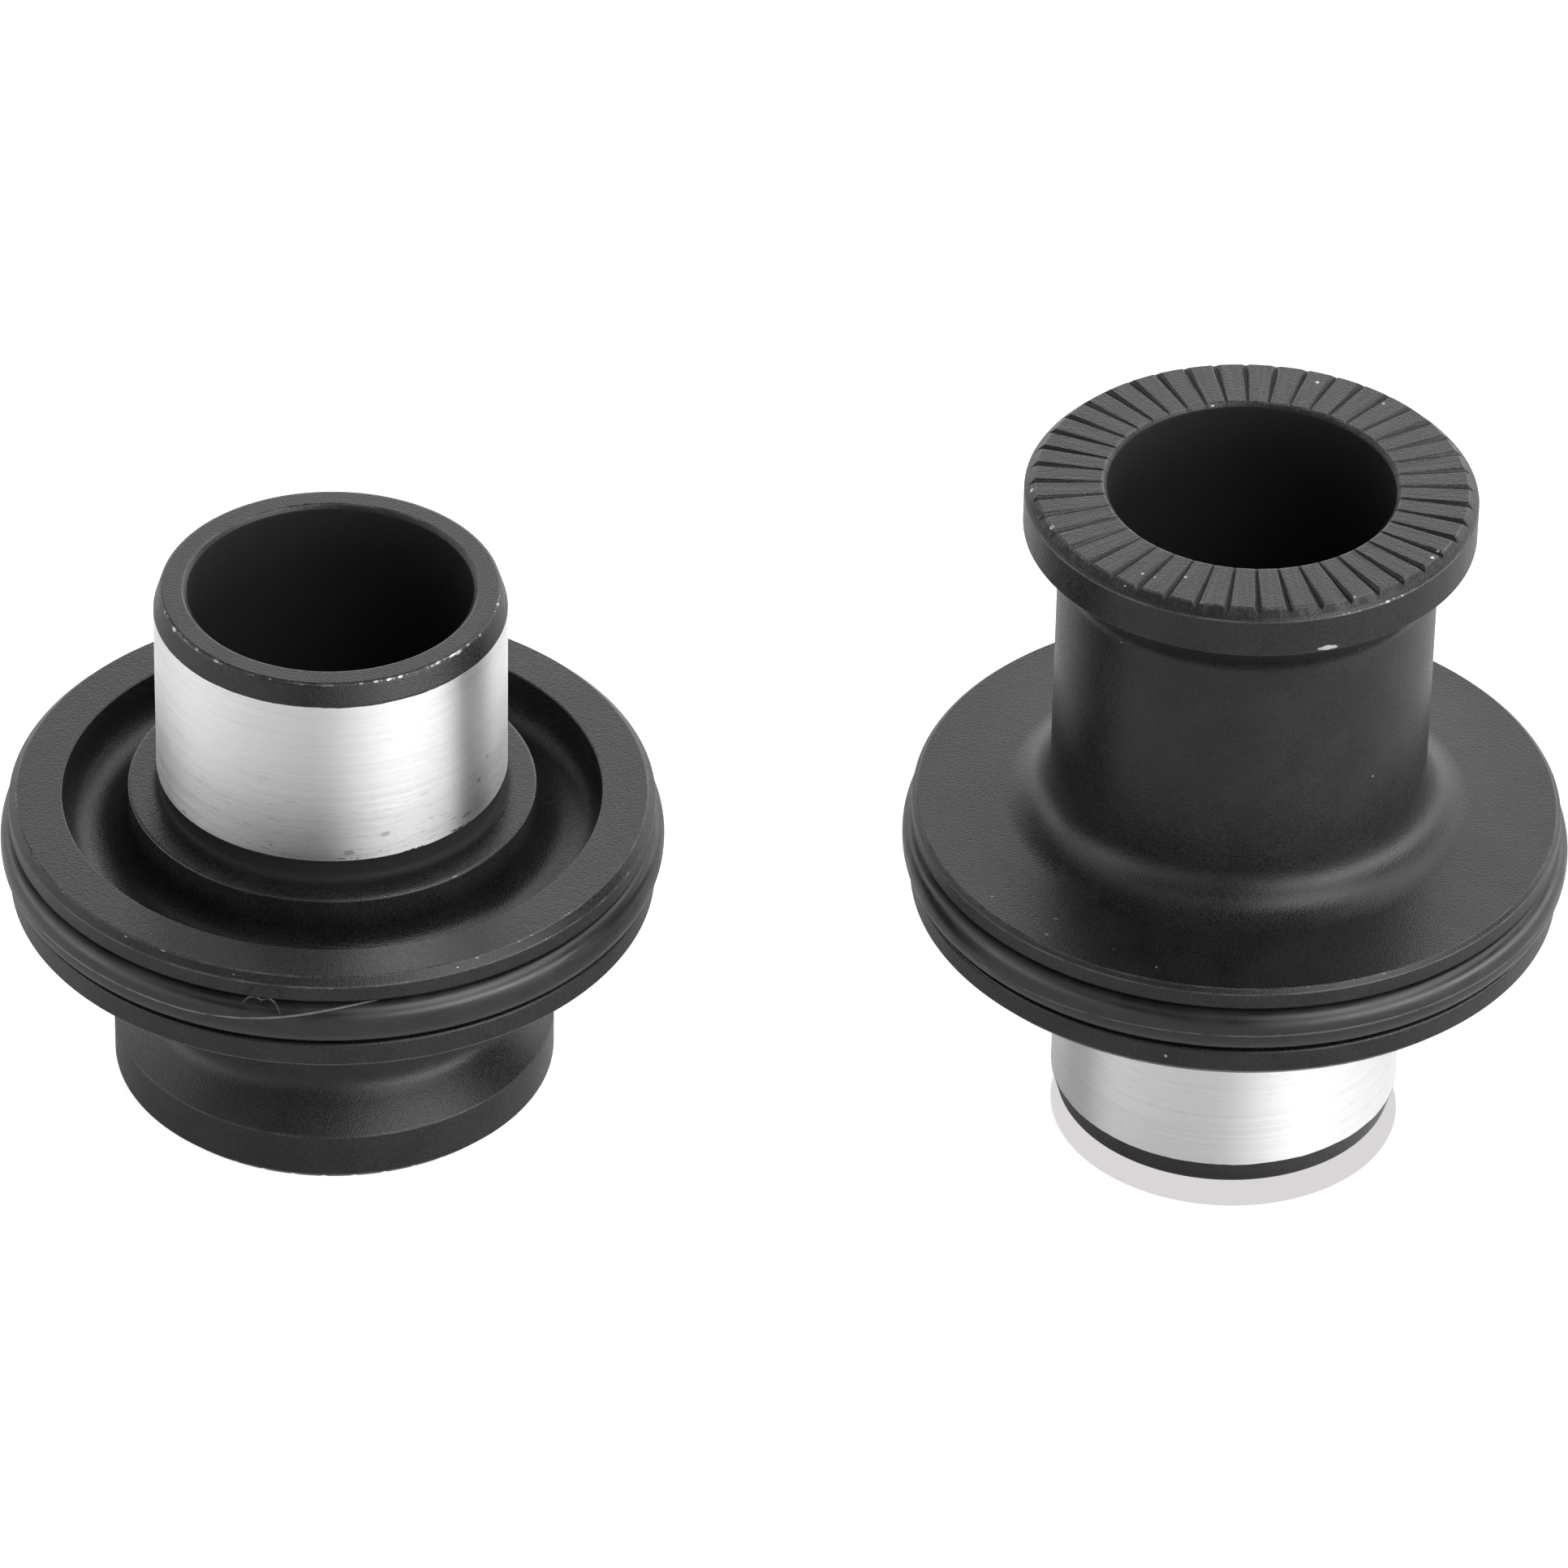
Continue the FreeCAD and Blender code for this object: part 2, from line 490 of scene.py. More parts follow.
    def turned(self, spot: Spot) -> Socket:
        """Bright metal left by the turning tool, with a few pits and dents.

        Args:
            spot: The surface point.

        Returns:
            The shader.
        """
        board, seed = spot.board, self.cap.seed
        coarse = board.noise(spot.round_about(0.6, spot.z * 9.0 + seed), 1.0, 3.0, 0.6)
        fine = board.noise(spot.round_about(1.5, spot.z * 34.0 + seed), 1.0, 2.0, 0.6)
        lines = coarse * 0.5 + fine * 0.5
        colour = board.blend(lines.ramp(0.30, 0.62), self.dull_bare, self.bare)
        pits = board.specks(spot.place, 1.1, 0.045, 0.12)
        # Dull scuffs over the seat, growing denser and darker toward the seat's end by the flange.
        scuffs = board.noise(spot.round_about(8.0, spot.z * 15.0), 1.0, 3.0, 0.75).ramp(0.56, 0.70)
        low = spot.z.ramp(self.cap.lead_in_length + 2.5, self.cap.seat_end, 0.25, 1.0)
        dull = (pits * 0.3).most(scuffs * low * 0.6)
        for scrap in self.cap.scraps:
            dull = dull.most(self.mark(spot, scrap, coarse) * 0.5)
        colour = board.blend(dull, colour, self.pit)
        height = lines * 0.5 - pits * 2.0 - scuffs
        return board.principled(
            colour,
            Metallic=1.0,
            Roughness=lines.ramp(0.2, 0.8, 0.30, 0.38),
            Anisotropic=0.85,
            Anisotropic_Rotation=0.25,
            Normal=board.bump(height, self.tool_depth, 0.35),
        )

    def seat_mask(self, spot: Spot) -> Value:
        """Where the bearing seat was turned bright after anodising.

        Args:
            spot: The surface point.

        Returns:
            1 on the bright band and 0 elsewhere.
        """
        board, cap = spot.board, self.cap
        ragged = board.noise(spot.round_about(7.0, spot.z * 5.0 + cap.seed), 1.0, 3.0, 0.65)
        remains = ragged.ramp(0.58, 0.80) * 0.6
        outside = spot.radius.ramp(cap.seat_radius - 0.11, cap.seat_radius - 0.06)
        past_start = (spot.z - cap.lead_in_length - ragged * 0.12).ramp(-0.03, 0.01)
        before_end = (cap.seat_end - 0.03 - remains - spot.z).ramp(0.0, 0.04)
        return outside * past_start * before_end

    def mark(self, spot: Spot, nick: Nick, ragged: Value) -> Value:
        """Shape one small mark.

        Args:
            spot: The surface point.
            nick: The mark's place and size.
            ragged: A noise that breaks its outline.

        Returns:
            1 on the mark and 0 elsewhere.
        """
        turn = spot.angle - math.radians(nick.azimuth)
        around = turn.sine() * (nick.radius / (nick.length / 2))
        out = (spot.radius - nick.radius) / (nick.width / 2)
        rise = (spot.z - nick.height) / (nick.width / 2)
        away = (around * around + out * out + rise * rise) ** 0.5
        return (away + ragged * 1.4).ramp(1.45, 1.85, 1.0, 0.0) * turn.cosine().ramp(0.0, 0.05)

    def chip_mask(self, spot: Spot, chips: Value, patches: Value) -> Value:
        """Where bare metal shows: chips along turned edges and single nicks.

        Args:
            spot: The surface point.
            chips: Noise that breaks the edges up.
            patches: Where edges wear more.

        Returns:
            The share of bare metal, from 0 to 1.
        """
        level = chips + patches * 0.14
        worn = level * 0.0
        for edge in self.cap.edges:
            if edge.chips > 0.0:
                away = spot.off_edge(edge.radius, edge.height)
                near = away.ramp(edge.width * 0.5, edge.width * 1.1, 1.0, 0.0)
                start = 0.80 - 0.20 * edge.chips
                there = level.ramp(start, start + 0.07) * near
                if edge.spread < 180.0:
                    there = there * spot.facing(edge.azimuth, edge.spread)
                worn = worn.most(there * 0.4)
        for nick in self.cap.nicks:
            worn = worn.most(self.mark(spot, nick, chips) * nick.brightness)
        return worn


@dataclass(frozen=True)
class RubberFinish:
    """Moulded black rubber with a parting line, a bloom and a little dust."""

    ring: "SealRing"
    dark: Colour = (0.0070, 0.0076, 0.0085, 1.0)
    bloom: Colour = (0.0115, 0.0123, 0.0136, 1.0)
    lint: Colour = (0.42, 0.42, 0.42, 1.0)

    def material(self) -> bpy.types.Material:
        """Build the finish.

        Returns:
            The material for one ring.
        """
        ring = self.ring
        material, board = shader_board(ring.node + "_rubber")
        spot = ring.cap.axes().spot(board)
        over, out = spot.z - ring.centre_height(), spot.radius - ring.centre_radius()
        round_section = over.math("ARCTAN2", over, out)
        first, last = (math.radians(turn) for turn in ring.seam_twist)
        twisted = spot.angle.ramp(first, last, ring.seam_swing, 0.0) * spot.angle.ramp(-2.6, -1.7)
        seam = (round_section - twisted - ring.seam_rest).size()

        grain = board.noise(spot.place, 9.0, 3.0, 0.6)
        cloud = board.noise(spot.place, 0.5, 3.0, 0.6)
        smear = board.noise(spot.round_about(9.0, spot.z * 1.5), 1.0, 3.0, 0.6)
        dust = board.specks(spot.place, 0.8, 0.05, 0.06).most(board.specks(spot.place, 2.2, 0.09, 0.12))
        line = seam.ramp(0.025, 0.065, 1.0, 0.0) * (cloud + smear).ramp(0.75, 1.1)

        colour = board.blend((cloud * 0.5 + smear * 0.5).ramp(0.38, 0.62), self.dark, self.bloom)
        colour = board.blend((dust * 0.7).most(line * ring.seam_paleness), colour, self.lint)
        rough = smear.ramp(0.3, 0.7, 0.26, 0.38) + dust * 0.2
        normal = board.bump(line, 0.03, 0.8, Normal=board.bump(grain, 0.006, 0.4))
        shader = board.principled(colour, Roughness=rough, IOR=1.52, Normal=normal)
        board.add("ShaderNodeOutputMaterial", {"Surface": shader})
        return material


# Shape helpers


@dataclass(frozen=True)
class Corner:
    """One corner of a turned outline, or a point of an arc where rounding is 0."""

    radius: float
    height: float
    rounding: float = 0.0


def arc_corners(
    centre: tuple[float, float], size: float, start: float, end: float, steps: int
) -> list[Corner]:
    """Return an arc's points about a radius and height, from start to end in degrees."""
    turns = [math.radians(start + (end - start) * index / steps) for index in range(steps + 1)]
    return [Corner(centre[0] + size * math.cos(t), centre[1] + size * math.sin(t)) for t in turns]


def rounded(corners: list[Corner], support: float = 0.6) -> list[tuple[float, float]]:
    """Give the sharp corners of a closed outline a small true radius.

    Args:
        corners: The outline's corners in order.
        support: Distance of the extra point on each side, as a share of the rounding.

    Returns:
        Radius and height of each point.
    """
    points: list[tuple[float, float]] = []
    count = len(corners)
    for index, corner in enumerate(corners):
        here = Vector((corner.radius, corner.height))
        if corner.rounding == 0.0:
            points.append(tuple(here))
            continue
        before, after = corners[index - 1], corners[(index + 1) % count]
        back = (Vector((before.radius, before.height)) - here).normalized()
        ahead = (Vector((after.radius, after.height)) - here).normalized()
        reach = corner.rounding
        half = back.angle(ahead) / 2
        centre = here + (back + ahead).normalized() * (reach / math.cos(half))
        size = reach * math.tan(half)
        first, last = here + back * reach, here + ahead * reach
        middle = centre + (here - centre).normalized() * size
        points.append(tuple(first + back * reach * support))
        points += [tuple(first), tuple(middle), tuple(last)]
        points.append(tuple(last + ahead * reach * support))
    return points


def bake(source: bpy.types.Object, name: str, place: Matrix) -> bpy.types.Object:
    """Turn an object's modifiers into one plain mesh in the frame.

    Args:
        source: The object with its modifiers, which is removed.
        name: The finished piece's name.
        place: Move from the piece's own axes to the frame.

    Returns:
        The finished piece, its object at the origin.
    """
    bpy.context.view_layer.update()
    graph = bpy.context.evaluated_depsgraph_get()
    mesh = bpy.data.meshes.new_from_object(source.evaluated_get(graph), depsgraph=graph)
    mesh.name = name
    mesh.transform(place)
    old = source.data
    bpy.data.objects.remove(source)
    bpy.data.meshes.remove(old)
    piece = bpy.data.objects.new(name, mesh)
    bpy.context.scene.collection.objects.link(piece)
    return piece


def geometry_board(name: str, sizes: dict[str, Any]) -> tuple[Board, dict[str, str], bpy.types.Node]:
    """Start a geometry tree with named inputs.

    Args:
        name: The tree's name.
        sizes: Value of each named input.

    Returns:
        The board, each input's identifier, and the input node.
    """
    tree = bpy.data.node_groups.new(name, "GeometryNodeTree")
    for side in ("INPUT", "OUTPUT"):
        tree.interface.new_socket("Geometry", in_out=side, socket_type="NodeSocketGeometry")
    keys = {}
    for label, value in sizes.items():
        kind = "NodeSocket" + type(value).__name__.capitalize()
        keys[label] = tree.interface.new_socket(label, in_out="INPUT", socket_type=kind).identifier
    board = Board(tree)
    return board, keys, board.add("NodeGroupInput")


def close_tree(board: Board, given: bpy.types.Node, shape: Socket) -> None:
    """Smooth a tree's shape, make it real and give it its finish.

    Args:
        board: The tree's board.
        given: The tree's input node.
        shape: The geometry.
    """
    for kind in ("GeometryNodeSetShadeSmooth", "GeometryNodeRealizeInstances"):
        shape = board.add(kind, {"Geometry": shape}).outputs[0]
    inputs = {"Geometry": shape, "Material": given.outputs["Finish"]}
    dressed = board.add("GeometryNodeSetMaterial", inputs)
    board.add("NodeGroupOutput", {"Geometry": dressed.outputs[0]})


def run_tree(source: bpy.types.Object, board: Board, keys: dict[str, str], sizes: dict) -> None:
    """Put a geometry tree on an object with its sizes set.

    Args:
        source: The object.
        board: The tree's board.
        keys: Each input's identifier.
        sizes: Value of each named input.
    """
    modifier = source.modifiers.new(board.tree.name, "NODES")
    modifier.node_group = board.tree
    for label, value in sizes.items():
        modifier[keys[label]] = value


# The caps


@dataclass
class EndCap:
    """One turned end cap: spigot, flange with ring groove, neck and serrated head."""

    node: str
    body: str
    standing: Standing
    lead_in_length: float
    inboard_land: float
    outboard_land: float
    stand_off: float
    rim_height: float
    edges: tuple[WornEdge, ...] = ()
    nicks: tuple[Nick, ...] = ()
    scraps: tuple[Nick, ...] = ()
    seed: float = 0.0
    bore_radius: float = 6.05
    bore_chamfer: float = 0.2
    lead_in_radius: float = 7.2
    end_rounding: float = 0.1
    seat_radius: float = 7.5
    seat_length: float = 8.0
    relief_radius: float = 7.28
    relief_width: float = 1.1
    relief_root: float = 0.24
    shoulder_radius: float = 8.75
    shoulder_rise: float = 0.45
    recess_radius: float = 11.55
    recess_straight: float = 1.0
    flange_radius: float = 13.85
    inboard_chamfer: float = 0.34
    outboard_chamfer: float = 0.2
    groove_floor_radius: float = 12.43
    groove_width: float = 2.2
    neck_radius: float = 8.0
    cove_radius: float = 2.0
    flare_fillet: float = 1.5
    head_radius: float = 9.53
    head_chamfer: float = 0.45
    groove_count: int = 44
    groove_depth_outside: float = 0.2
    groove_depth_inside: float = 0.07
    first_groove: float = 0.4
    edge_break: float = 0.035
    mouth_radius: float = field(init=False)
    seat_end: float = field(init=False)
    shoulder: float = field(init=False)
    inboard: float = field(init=False)
    ring_start: float = field(init=False)
    ring_end: float = field(init=False)
    outboard: float = field(init=False)
    top: float = field(init=False)

    def __post_init__(self) -> None:
        """Work out the heights of the cap's steps."""
        self.mouth_radius = self.bore_radius + self.bore_chamfer
        self.seat_end = self.lead_in_length + self.seat_length
        self.shoulder = self.seat_end + self.relief_width
        self.inboard = self.shoulder + self.shoulder_rise
        self.ring_start = self.inboard + self.inboard_land
        self.ring_end = self.ring_start + self.groove_width
        self.outboard = self.ring_end + self.outboard_land
        self.top = self.outboard + self.stand_off

    def own_place(self, azimuth: float, radius: float, height: float) -> tuple[float, float, float]:
        """Turn a place seen from above as the cap stands into its own axes.

        Args:
            azimuth: Turn from +X in degrees.
            radius: Distance from the axis.
            height: Height over the floor.

        Returns:
            The place in millimetres.
        """
        side = -1.0 if self.standing is Standing.SPIGOT_UP else 1.0
        turn = math.radians(azimuth)
        up = self.top - height if self.standing is Standing.SPIGOT_UP else height
        return radius * math.cos(turn), side * radius * math.sin(turn), up

    def axes(self) -> CapAxes:
        """Read the cap's own axes from its CAD node.

        Returns:
            The axes.
        """
        low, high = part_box(self.node)
        end = high.z if self.standing is Standing.SPIGOT_UP else low.z
        return CapAxes((low.x + high.x) / 2, (low.y + high.y) / 2, end, self.standing)

    def groove_slope(self) -> float:
        """Return how much deeper a groove gets for each millimetre outwards."""
        deeper = self.groove_depth_outside - self.groove_depth_inside
        return deeper / (self.head_radius - self.mouth_radius)

    def groove_drop(self, share: float) -> tuple[float, float]:
        """How far a groove lowers the face at its two ends.

        Args:
            share: Place across the groove, 0 at its root and 1 at its edge.

        Returns:
            The drop at the bore mouth and at the head chamfer.
        """
        deep = max(0.0, 1.0 - abs(share))
        slope = self.groove_slope()
        chamfer_depth = self.groove_depth_outside - slope * self.head_chamfer
        inside = self.groove_depth_inside * deep / (1 + slope * deep)
        outside = chamfer_depth * deep / (1 - slope * deep)
        return inside, outside

    def corners(self, share: float) -> list[Corner]:
        """Corners of the outline at one place across a groove.

        Args:
            share: Place across the groove, 0 at its root and 1 at its edge.

        Returns:
            The corners from the spigot's bore up the outside and down the bore.
        """
        small, inside_drop, outside_drop = self.edge_break, *self.groove_drop(share)
        round_start = self.inboard + self.recess_straight
        round_size = (self.recess_radius - self.shoulder_radius) / 2
        round_centre = (self.shoulder_radius + round_size, round_start)
        rim_top = self.top - self.head_chamfer
        rim_bottom = rim_top - self.rim_height
        flare_corner = rim_bottom - (self.head_radius - self.neck_radius)
        fillet_foot = flare_corner - self.flare_fillet * math.tan(math.radians(22.5))
        flange, groove = self.flange_radius, self.groove_floor_radius
        inboard, outboard = self.inboard, self.outboard
        chamfer = self.outboard_chamfer
        cove_centre = (self.neck_radius + self.cove_radius, outboard + self.cove_radius)
        fillet_centre = (self.neck_radius + self.flare_fillet, fillet_foot)
        face_edge = self.head_radius - self.head_chamfer + outside_drop
        return [
            Corner(self.bore_radius, self.bore_chamfer, small),
            Corner(self.mouth_radius, 0.0, small),
            Corner(self.lead_in_radius, 0.0, self.end_rounding),
            Corner(self.seat_radius, self.lead_in_length, small),
            Corner(self.seat_radius, self.seat_end, small),
            Corner(self.relief_radius, self.seat_end, small),
            Corner(self.relief_radius, self.shoulder, self.relief_root),
            Corner(self.shoulder_radius, self.shoulder, 0.1),
            *arc_corners(round_centre, round_size, 180, 0, 14),
            Corner(self.recess_radius, inboard, 0.05),
            Corner(flange - self.inboard_chamfer, inboard, small),
            Corner(flange, inboard + self.inboard_chamfer, small),
            Corner(flange, self.ring_start, 0.1),
            Corner(groove, self.ring_start, small),
            Corner(groove, self.ring_end, small),
            Corner(flange, self.ring_end, 0.1),
            Corner(flange, outboard - chamfer, small),
            Corner(flange - chamfer, outboard, small),
            *arc_corners(cove_centre, self.cove_radius, 270, 180, 12),
            *arc_corners(fillet_centre, self.flare_fillet, 180, 135, 6),
            Corner(self.head_radius, rim_bottom, small),
            Corner(self.head_radius, rim_top, small),
            Corner(face_edge, self.top - outside_drop, small),
            Corner(self.mouth_radius - inside_drop, self.top - inside_drop, small),
            Corner(self.bore_radius, self.top - self.bore_chamfer, small),
        ]

    def sector(self) -> bpy.types.Object:
        """Build one slice of the cap with half a land each side of one groove.

        Returns:
            An object that holds the open slice, in metres.
        """
        half_turn = math.pi / self.groove_count
        shares = [0.0, 0.13, 0.85, 1.0, 1.15, None]
        slope = self.groove_slope()
        rim_middle = self.top - self.head_chamfer - self.rim_height / 2
        columns = []
        for step in range(-5, 6):
            share = shares[abs(step)]
            side = -1 if step < 0 else 1
            column = []
            for radius, height in rounded(self.corners(2.0 if share is None else share)):
                even = half_turn * step / 5
                if share is None:
                    turn = even
                else:
                    depth = self.groove_depth_outside - slope * (self.head_radius - radius)
                    grooved = side * math.asin(share * depth / radius)
                    pull = min(1.0, max(0.0, (height - rim_middle) / (self.rim_height / 4)))
                    turn = even + (grooved - even) * pull
                column.append(Vector((radius * math.cos(turn), radius * math.sin(turn), height)) * MM)
            columns.append(column)
        rows = len(columns[0])
        vertices = [point for column in columns for point in column]
        faces = []
        for c in range(len(columns) - 1):
            here, there = c * rows, (c + 1) * rows
            for r in range(rows):
                ahead = (r + 1) % rows
                faces.append((here + r, there + r, there + ahead, here + ahead))
        mesh = bpy.data.meshes.new(self.node + "_slice")
        mesh.from_pydata(vertices, [], faces)
        slice_object = bpy.data.objects.new(self.node + "_slice", mesh)
        bpy.context.scene.collection.objects.link(slice_object)
        return slice_object

    def build(self) -> bpy.types.Object:
        """Build the whole cap and put it in place of its CAD node.

        Returns:
            The finished cap.
        """
        sizes = {
            "Slices": self.groove_count,
            "First Groove": math.radians(self.first_groove),
            "Weld": 0.0005 * MM,
            "Finish": AnodisedCapFinish(self).material(),
        }
        board, keys, given = geometry_board("serrated turned cap", sizes)
        index = board.number(board.add("GeometryNodeInputIndex").outputs[0])
        slices = board.number(given.outputs["Slices"])
        turn = index * (2 * math.pi) / slices + board.number(given.outputs["First Groove"])
        points = board.add("GeometryNodePoints", {"Count": given.outputs["Slices"]})
        inputs = {
            "Points": points.outputs[0],
            "Instance": given.outputs["Geometry"],
            "Rotation": board.vector(0.0, 0.0, turn),
        }
        placed = board.add("GeometryNodeInstanceOnPoints", inputs)
        real = board.add("GeometryNodeRealizeInstances", {"Geometry": placed.outputs[0]})
        inputs = {"Geometry": real.outputs[0], "Distance": given.outputs["Weld"]}
        welded = board.add("GeometryNodeMergeByDistance", inputs)
        close_tree(board, given, welded.outputs[0])
        source = self.sector()
        run_tree(source, board, keys, sizes)
        cap = bake(source, self.node + "_turned", self.axes().matrix())
        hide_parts(self.node)
        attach(cap, self.body)
        LOG.info("%s: %d faces", cap.name, len(cap.data.polygons))
        return cap


@dataclass
class SealRing:
    """The rubber ring in a cap's flange groove."""

    node: str
    cap: EndCap
    seam_twist: tuple[float, float] = (63.0, 115.0)
    seam_swing: float = 0.0
    seam_rest: float = 0.0
    seam_paleness: float = 0.12
    burr: tuple[Vector, ...] = field(default_factory=tuple)
    hair_radius: float = 0.05
    squareness: float = 2.5
    spread: float = 1.08
    outer_radius: float = 14.23
    section: float = 1.9
    round_steps: int = 360
    section_steps: int = 48
    hair_steps: int = 10
    thread_steps: int = 8

    def centre_height(self) -> float:
        """Return the ring's height in the cap's own axes."""
        return (self.cap.ring_start + self.cap.ring_end) / 2

    def centre_radius(self) -> float:
        """Return the radius of the ring's centre line."""
        return self.outer_radius - self.section / 2

    def circle(self, board: Board, steps: int, radius: Socket) -> Socket:
        """Return a circle curve of so many steps."""
        inputs = {"Resolution": steps, "Radius": radius}
        return board.add("GeometryNodeCurvePrimitiveCircle", inputs).outputs[0]

    def build(self) -> bpy.types.Object:
        """Sweep the ring's section round its centre line and flatten its seat.

        Returns:
            The finished ring.
        """
        sizes = {
            "Centre Radius": self.centre_radius() * MM,
            "Section Radius": self.section / 2 * MM,
            "Squareness": self.squareness,
            "Spread": self.spread,
            "Groove Floor": self.cap.groove_floor_radius * MM,
            "Height": self.centre_height() * MM,
            "Hair Radius": self.hair_radius * MM,
            "Finish": RubberFinish(self).material(),
        }
        board, keys, given = geometry_board("seated rubber ring", sizes)
        path = self.circle(board, self.round_steps, given.outputs["Centre Radius"])
        section = self.circle(board, self.section_steps, given.outputs["Section Radius"])
        swept = board.add("GeometryNodeCurveToMesh", {"Curve": path, "Profile Curve": section})
        x, y, z = board.split(board.add("GeometryNodeInputPosition").outputs[0])
        radius = (x * x + y * y) ** 0.5
        section_radius = board.number(given.outputs["Section Radius"])
        squareness = board.number(given.outputs["Squareness"])
        centre = board.number(given.outputs["Centre Radius"])
        out, over = (radius - centre) / section_radius, z / section_radius
        corner = out.size() ** squareness + over.size() ** squareness
        bulge = 1.0 / corner ** (1.0 / squareness)
        z = z * bulge * board.number(given.outputs["Spread"])
        pressed = ((radius - centre) * bulge + centre).most(given.outputs["Groove Floor"]) / radius
        lifted = board.vector(x * pressed, y * pressed, z + board.number(given.outputs["Height"]))
        inputs = {"Geometry": swept.outputs[0], "Position": lifted}
        seated = board.add("GeometryNodeSetPosition", inputs)
        whole = board.add("GeometryNodeJoinGeometry", {"Geometry": seated.outputs[0]})
        for start, middle, end in zip(self.burr[::2], self.burr[1::2], self.burr[2::2]):
            ends = {"Start": start * MM, "Middle": middle * MM, "End": end * MM}
            inputs = {"Resolution": self.hair_steps, **ends}
            hair = board.add("GeometryNodeCurveQuadraticBezier", inputs)
            thread = self.circle(board, self.thread_steps, given.outputs["Hair Radius"])
            inputs = {"Curve": hair.outputs[0], "Profile Curve": thread, "Fill Caps": True}
            tube = board.add("GeometryNodeCurveToMesh", inputs)
            board.tree.links.new(tube.outputs[0], whole.inputs[0])
        close_tree(board, given, whole.outputs[0])
        mesh = bpy.data.meshes.new(self.node + "_start")
        source = bpy.data.objects.new(self.node + "_start", mesh)
        bpy.context.scene.collection.objects.link(source)
        run_tree(source, board, keys, sizes)
        ring = bake(source, self.node + "_moulded", self.cap.axes().matrix())
        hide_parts(self.node)
        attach(ring, self.cap.body)
        LOG.info("%s: %d faces", ring.name, len(ring.data.polygons))
        return ring


# The studio


@dataclass(frozen=True)
class LightBand:
    """One height of the light tent, with its brightness at eight azimuths from +X to +Y."""

    lowest: float
    highest: float
    strengths: tuple[float, ...]


